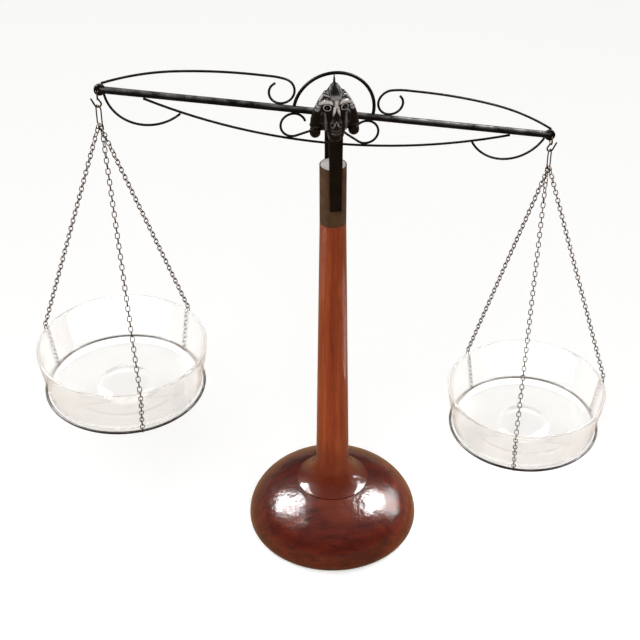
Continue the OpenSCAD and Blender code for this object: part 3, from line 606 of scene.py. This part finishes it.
# Bush and spacers: small turnings of brass, dulled with wear. The bush is pressed into the
# beam's hub, and a spacer stands on the pin at either side of it.
brass = metal_finish("worn_brass", (0.20, 0.13, 0.045), (0.36, 0.25, 0.10), (0.55, 0.43, 0.22), 1.0, 0.35)
dress(brass, "pivot_spacers", "pivot_bush")


# Beam and scrollwork: a round iron rod with an arch, scrolls, a chord and end bows of iron wire
# brazed to it, all blackened; the top of the rod is painted grey as a highlight, in worn patches.
dress(black_iron, "beam_rod")
dress(wire_iron, "arch", "upper_wire_left", "upper_wire_right", "lower_chord",
      "lower_scroll_left", "lower_scroll_right", "end_bow_left", "end_bow_right")


# Hooks and long links: bent from bronzed wire, which has darkened. A hook hangs in each of the
# beam's two flat eyes, and a long link hangs in its bend.
aged_bronze = metal_finish("aged_bronze", (0.014, 0.008, 0.004), (0.055, 0.030, 0.014), (0.34, 0.22, 0.12),
                           0.45, 0.38, patch=320.0, top_sheen_and_rubbing=0.6, gloss=0.3)
dress(aged_bronze, "hook_left", "hook_right", "long_link_left", "long_link_right")


# Chains: six, of closed oval links of bronzed wire, each link standing across the next. A chain
# runs straight from the long link to the bowl's rim and down its side to the ring.
def link_tree():
    """One straight run of links, between two points."""
    tree = bpy.data.node_groups.new("run_of_links", "GeometryNodeTree")
    face = tree.interface
    face.new_socket("Geometry", in_out="INPUT", socket_type="NodeSocketGeometry")
    for name, kind in (("Start", "Vector"), ("End", "Vector"), ("Links", "Int"), ("First across", "Int"),
                       ("Twist", "Float"), ("Twisted links", "Float"), ("Wire radius", "Float"),
                       ("End radius", "Float"), ("Half straight", "Float"), ("Finish", "Material")):
        face.new_socket(name, in_out="INPUT", socket_type="NodeSocket" + kind)
    face.new_socket("Geometry", in_out="OUTPUT", socket_type="NodeSocketGeometry")
    into = put(tree, "NodeGroupInput").outputs

    def vectors(operation, a, b):
        return put(tree, "ShaderNodeVectorMath", {0: a, 1: b}, operation=operation).outputs[0]

    # One link, as a ring whose two halves are drawn apart
    ring = put(tree, "GeometryNodeCurvePrimitiveCircle", {"Resolution": 12, "Radius": into["End radius"]})
    turned_ring = put(tree, "GeometryNodeTransform",
                      {"Geometry": ring.outputs[0], "Rotation": (0, 0, math.radians(15))})
    at = put(tree, "GeometryNodeInputPosition")
    xyz = put(tree, "ShaderNodeSeparateXYZ", {0: at.outputs[0]})
    half_side = put(tree, "ShaderNodeMath", {0: xyz.outputs["Y"]}, operation="SIGN").outputs[0]
    apart = sums(tree, "MULTIPLY", half_side, into["Half straight"])
    oval = put(tree, "ShaderNodeCombineXYZ",
               {0: xyz.outputs["X"], 1: 0.0, 2: sums(tree, "ADD", xyz.outputs["Y"], apart)})
    bent = put(tree, "GeometryNodeSetPosition",
               {"Geometry": turned_ring.outputs[0], "Position": oval.outputs[0]})
    wire = put(tree, "GeometryNodeCurvePrimitiveCircle", {"Resolution": 5, "Radius": into["Wire radius"]})
    link = put(tree, "GeometryNodeCurveToMesh", {"Curve": bent.outputs[0], "Profile Curve": wire.outputs[0]})

    # The links' places, half a pitch in from either end
    run = vectors("SUBTRACT", into["End"], into["Start"])
    pitch = put(tree, "ShaderNodeVectorMath", {0: run, "Scale": sums(tree, "DIVIDE", 1.0, into["Links"])},
                operation="SCALE").outputs[0]
    half = put(tree, "ShaderNodeVectorMath", {0: pitch, "Scale": 0.5}, operation="SCALE").outputs[0]
    places = put(tree, "GeometryNodeMeshLine", {
        "Count": into["Links"], "Start Location": vectors("ADD", into["Start"], half), "Offset": pitch},
        mode="OFFSET")
    # Along the run, then about it
    aim = put(tree, "ShaderNodeSeparateXYZ",
              {0: put(tree, "ShaderNodeVectorMath", {0: run}, operation="NORMALIZE").outputs[0]})
    downward = sums(tree, "MULTIPLY", aim.outputs["Z"], -1.0)
    off_plumb = put(tree, "ShaderNodeMath", {0: downward}, operation="ARCCOSINE").outputs[0]
    lean = sums(tree, "MULTIPLY", off_plumb, -1.0)
    bearing = sums(tree, "ARCTAN2", aim.outputs["Y"], aim.outputs["X"])
    angles = put(tree, "ShaderNodeCombineXYZ", {0: 0.0, 1: lean, 2: bearing})
    along = put(tree, "FunctionNodeEulerToRotation", {0: angles.outputs[0]})
    index = put(tree, "GeometryNodeInputIndex").outputs[0]
    odd = sums(tree, "MODULO", sums(tree, "ADD", index, into["First across"]), 2.0)
    across = sums(tree, "MULTIPLY", odd, math.pi / 2)
    passed = sums(tree, "DIVIDE", index, into["Twisted links"])
    fading = sums(tree, "MAXIMUM", sums(tree, "SUBTRACT", 1.0, passed), 0.0)
    about = sums(tree, "ADD", across, sums(tree, "MULTIPLY", into["Twist"], fading))
    roll = put(tree, "FunctionNodeAxisAngleToRotation", {"Axis": (0, 0, 1), "Angle": about})
    facing = put(tree, "FunctionNodeRotateRotation", {0: along.outputs[0], 1: roll.outputs[0]},
                 rotation_space="LOCAL")
    links = put(tree, "GeometryNodeInstanceOnPoints", {
        "Points": places.outputs[0], "Instance": link.outputs[0], "Rotation": facing.outputs[0]})
    real = put(tree, "GeometryNodeRealizeInstances", {0: links.outputs[0]})
    smooth = put(tree, "GeometryNodeSetShadeSmooth", {"Geometry": real.outputs[0], "Shade Smooth": True})
    finished = put(tree, "GeometryNodeSetMaterial",
                   {"Geometry": smooth.outputs[0], "Material": into["Finish"]})
    put(tree, "NodeGroupOutput", {"Geometry": finished.outputs[0]})
    return tree


def grown(tree, values):
    """The plain mesh that a node tree makes with these values of its named inputs."""
    holder = shown("holder", bpy.data.meshes.new("holder"))
    grow = holder.modifiers.new("grow", "NODES")
    grow.node_group = tree
    names = {item.name: item.identifier for item in tree.interface.items_tree if item.in_out == "INPUT"}
    for name, value in values.items():
        grow[names[name]] = value
    made = holder.evaluated_get(bpy.context.evaluated_depsgraph_get())
    mesh = bpy.data.meshes.new_from_object(made)
    holder.modifiers.clear()
    bpy.data.objects.remove(holder)
    return mesh


def joined(name, meshes, finish):
    """Several meshes as one, with their faces turned outwards."""
    work = bmesh.new()
    for mesh in meshes:
        work.from_mesh(mesh)
        bpy.data.meshes.remove(mesh)
    bmesh.ops.recalc_face_normals(work, faces=work.faces)
    for face in work.faces:
        face.smooth = True
        face.material_index = 0
    mesh = bpy.data.meshes.new(name)
    work.to_mesh(mesh)
    work.free()
    mesh.materials.clear()
    mesh.materials.append(finish)
    return shown(name, mesh)


chain_finish = metal_finish("chain_bronze", (0.016, 0.009, 0.004), (0.085, 0.050, 0.025), (0.50, 0.34, 0.20),
                            0.55, 0.34, patch=420.0, top_sheen_and_rubbing=0.7, bump=0.0, gloss=0.3)
links_of_chain = link_tree()
pitch, chain_wire, link_w, chain_gap = 0.00446, 0.00042, 0.0043, 0.00006
end_radius = link_w / 2 - chain_wire
half_straight = (pitch + 2 * chain_wire + chain_gap) / 2 - end_radius
long_wire, long_end, links_side, swing_gap = 0.00055, 0.0031, 10, 0.00055
knee_r, ring_r = 0.07765, 0.0705
ring_wire, twisted_links = 0.0012, 8.0
side_run = pitch * links_side - ring_wire - chain_gap / 2
side_h = math.sqrt(side_run ** 2 - (knee_r - ring_r) ** 2)
for pan, count, turn, bearings, places in (
        ("left", 62, 126, (36, 149, 278), (0, 35, -35)),
        ("right", 67, 47, (2, 122, 247), (35, 0, -35))):
    ring_lo, ring_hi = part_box("ring_" + pan)
    ring_c = (ring_lo + ring_hi) / 2
    bend_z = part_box("long_link_" + pan)[0].z + long_wire + long_end
    across = math.radians(turn)
    runs = []
    for bearing, place in zip(bearings, places):
        az, at = math.radians(bearing), math.radians(place)
        beside = long_end * math.sin(at)
        top = Vector((ring_c.x + beside * math.cos(across), ring_c.y + beside * math.sin(across),
                      bend_z - long_end * math.cos(at)))
        knee = ring_c + Vector((knee_r * math.cos(az), knee_r * math.sin(az), side_h))
        foot = ring_c + Vector((ring_r * math.cos(az), ring_r * math.sin(az), 0))
        falls = (knee - top).normalized()
        draws = (foot - knee).normalized()
        upper = count - links_side
        first = (count - 1) % 2
        off = turn + 90 - math.degrees(math.atan2(falls.y, falls.x)) - 90 * first
        twist = off - 180 * round(off / 180)
        common = {"Wire radius": chain_wire, "End radius": end_radius, "Half straight": half_straight,
                  "Finish": chain_finish, "Twisted links": twisted_links}
        runs.append(grown(links_of_chain, {
            **common, "Start": top - falls * (long_wire + swing_gap), "End": knee, "Links": upper,
            "First across": first, "Twist": math.radians(twist)}))
        start = knee - draws * chain_gap
        runs.append(grown(links_of_chain, {
            **common, "Start": start, "End": start + draws * (pitch * links_side + chain_gap),
            "Links": links_side, "First across": (links_side - 1) % 2, "Twist": 0.0}))
    chains = joined("chain_links_" + pan, runs, chain_finish)
    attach(chains, pan + "_pan")
    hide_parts("chain_%s_1" % pan, "chain_%s_2" % pan, "chain_%s_3" % pan)


# Rings: bent from round steel wire and left dark. The last link of each chain goes round its
# ring, and the ring carries the bowl.
dress(dark_steel, "ring_left", "ring_right")


# Bowls: clear glass, blown and turned, with a thick heel, a raised middle with faint rings from
# the punty, and a fire-polished rim.
glass_finish, tree = new_finish("clear_glass")
clear = put(tree, "ShaderNodeBsdfPrincipled", {
    "Base Color": (0.985, 0.978, 0.962, 1), "Roughness": 0.0, "IOR": 1.46, "Transmission Weight": 1.0})
through = put(tree, "ShaderNodeBsdfTransparent", {"Color": (0.99, 0.99, 0.985, 1)})
thin = put(tree, "ShaderNodeMixShader", {0: 0.45, 1: clear.outputs[0], 2: through.outputs[0]})
put(tree, "ShaderNodeOutputMaterial", {"Surface": thin.outputs[0]})

rim_r, rim_h, under_r, wall, floor_t = 0.075, 0.0438, 0.0035, 0.0026, 0.0035
punt_flat, punt_run, punt_h = 0.020, 0.007, 0.0025
ripple_h, ripple_step, ripple_fade = 0.00016, 0.006, 0.02
outer_corner, inner_corner = 0.006, 0.004
slope = (knee_r - ring_r) / side_h


def vessel_side(z0, r_top, z_top, corner):
    """Corner and side of a tapering vessel, from the end of its floor up to r_top."""
    lean = math.sqrt(1 + slope * slope)
    zc = z0 + corner
    xc = r_top - slope * (z_top - zc) - corner * lean
    bend = arc(xc, zc, corner, -90, -math.degrees(math.atan(slope)), 14)
    rise = [(bend[-1][0] + (r_top - bend[-1][0]) * k / 8, bend[-1][1] + (z_top - bend[-1][1]) * k / 8)
            for k in range(1, 9)]
    return bend + rise


def floor_line(level, out_r, ripple):
    """The floor from its middle out, with the raised centre and faint rings on it."""
    line = []
    for k in range(64):
        r = out_r * k / 64
        down = min(max((r - punt_flat) / punt_run, 0), 1)
        wave = ripple * math.sin(r * 2 * math.pi / ripple_step) * math.exp(-r / ripple_fade)
        line.append((r, level + punt_h * (1 - down ** 2 * (3 - 2 * down)) + wave))
    return line


for pan in ("left", "right"):
    ring_lo, ring_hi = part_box("ring_" + pan)
    ring_c = (ring_lo + ring_hi) / 2
    lip = wall / 2
    lip_z = rim_h - lip
    outside = vessel_side(-under_r, rim_r, lip_z, outer_corner)
    inside = vessel_side(floor_t - under_r, rim_r - wall, lip_z, inner_corner)
    lip_arc = arc(rim_r - lip, lip_z, lip, 0, 180, 14)

    bottom = floor_line(-under_r, outside[0][0], 0.0)
    top_line = floor_line(floor_t - under_r, inside[0][0], ripple_h)
    half_section = bottom + outside + lip_arc[1:-1] + inside[::-1] + top_line[::-1]
    bowl = turned("glass_bowl_" + pan, half_section, glass_finish, around=160, centre=ring_c)
    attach(bowl, pan + "_pan")
    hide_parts("bowl_" + pan)
